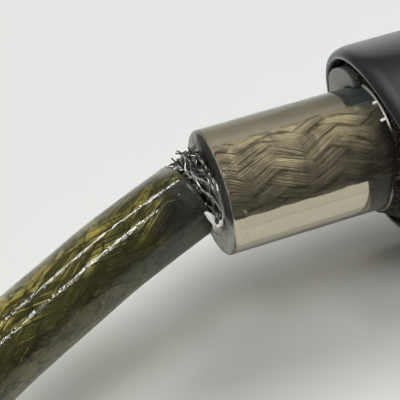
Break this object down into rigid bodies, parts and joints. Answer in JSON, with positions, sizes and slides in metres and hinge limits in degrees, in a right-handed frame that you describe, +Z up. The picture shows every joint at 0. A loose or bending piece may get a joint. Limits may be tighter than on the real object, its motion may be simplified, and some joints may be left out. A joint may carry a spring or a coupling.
{
  "type": "cable shutter release",
  "caption": "Mechanical cable release: finger handle with sprung plunger and lock screw, clear strain relief tube, jacketed braid cable and tapered tip with push pin.",
  "frame": {"origin": "on the table, under the middle of the handle's box (strain relief tube, collar, barrel, flange and button; the cable and its tip are left out)", "axes": "+X along the handle towards the thumb button, +Z up from the table, the cable leaves towards -X"},
  "size_m": [0.1622, 0.0517, 0.017],
  "materials": {
    "clear_tube": "clear smoky flexible plastic",
    "black_collar": "smooth semi-gloss dark grey plastic",
    "gland_rubber": "matt grey moulded rubber",
    "brass": "turned brass",
    "braid": "fine tinned wire braid, yellowed",
    "conduit_steel": "close-wound steel conduit",
    "chrome": "satin chrome over turned brass",
    "grip_black": "fluted black plastic",
    "flange_black": "black enamel, worn at the rim",
    "stem_steel": "ground steel",
    "button_black": "moulded black plastic",
    "spring_steel": "spring steel wire",
    "torn_braid": "torn dark wires with bright flanks",
    "cable_jacket": "clear yellowed jacket over an olive braid",
    "tip_plastic": "black moulded sleeve"
  },
  "bodies": {
    "handle": {"strain_relief_tube": "clear_tube", "seat_ring": "brass", "gland_plug": "gland_rubber", "tail_collar": "black_collar", "braid_sleeve": "braid", "conduit": "conduit_steel", "conduit_ferrule": "brass", "barrel": "chrome", "grip_sleeve": "grip_black", "finger_flange": "flange_black", "lock_neck": "chrome", "guide_bush": "brass", "return_spring": "spring_steel", "spring_washer": "stem_steel", "frayed_braid": "torn_braid", "cable_free": "cable_jacket", "cable_coil": "cable_jacket", "tip_sleeve": "tip_plastic", "tip_ferrule": "chrome", "swivel_clip": "spring_steel"},
    "plunger": {"piston": "brass", "plunger_stem": "stem_steel", "thumb_button": "button_black", "drive_wire": "spring_steel"},
    "lock_pad": {"lock_pad": "brass"},
    "lock_screw": {"lock_screw": "chrome"},
    "tip_head": {"tip_grip": "chrome", "taper_nipple": "chrome"},
    "release_pin": {"release_pin": "stem_steel", "pin_collar": "brass"}
  },
  "joints": [
    {"name": "plunger_slide", "type": "slide", "parent": "handle", "child": "plunger", "axis": [-1, 0, 0], "range_m": [0, 0.009], "stiffness_N_per_m": 300, "springref_m": -0.005, "deforming": ["return_spring"]},
    {"name": "release_pin_slide", "type": "slide", "parent": "handle", "child": "release_pin", "axis": [-1, 0, 0], "range_m": [0, 0.009]},
    {"name": "tip_swivel", "type": "hinge", "parent": "handle", "child": "tip_head", "pos_m": [-0.11288, -0.0331, 0.0031], "axis": [-1, 0, 0], "continuous": true},
    {"name": "lock_pad_slide", "type": "slide", "parent": "handle", "child": "lock_pad", "axis": [0, 0, -1], "range_m": [0, 0.00048]},
    {"name": "lock_screw_turn", "type": "hinge", "parent": "lock_pad", "child": "lock_screw", "pos_m": [0.01667, 0, 0.0085], "axis": [0, 0, 1], "range_deg": [-346, 0]}
  ],
  "couplings": [
    {"joint": "release_pin_slide", "follows": "plunger_slide", "ratio": 1},
    {"joint": "lock_screw_turn", "follows": "lock_pad_slide", "rad_per_m": -12566}
  ]
}
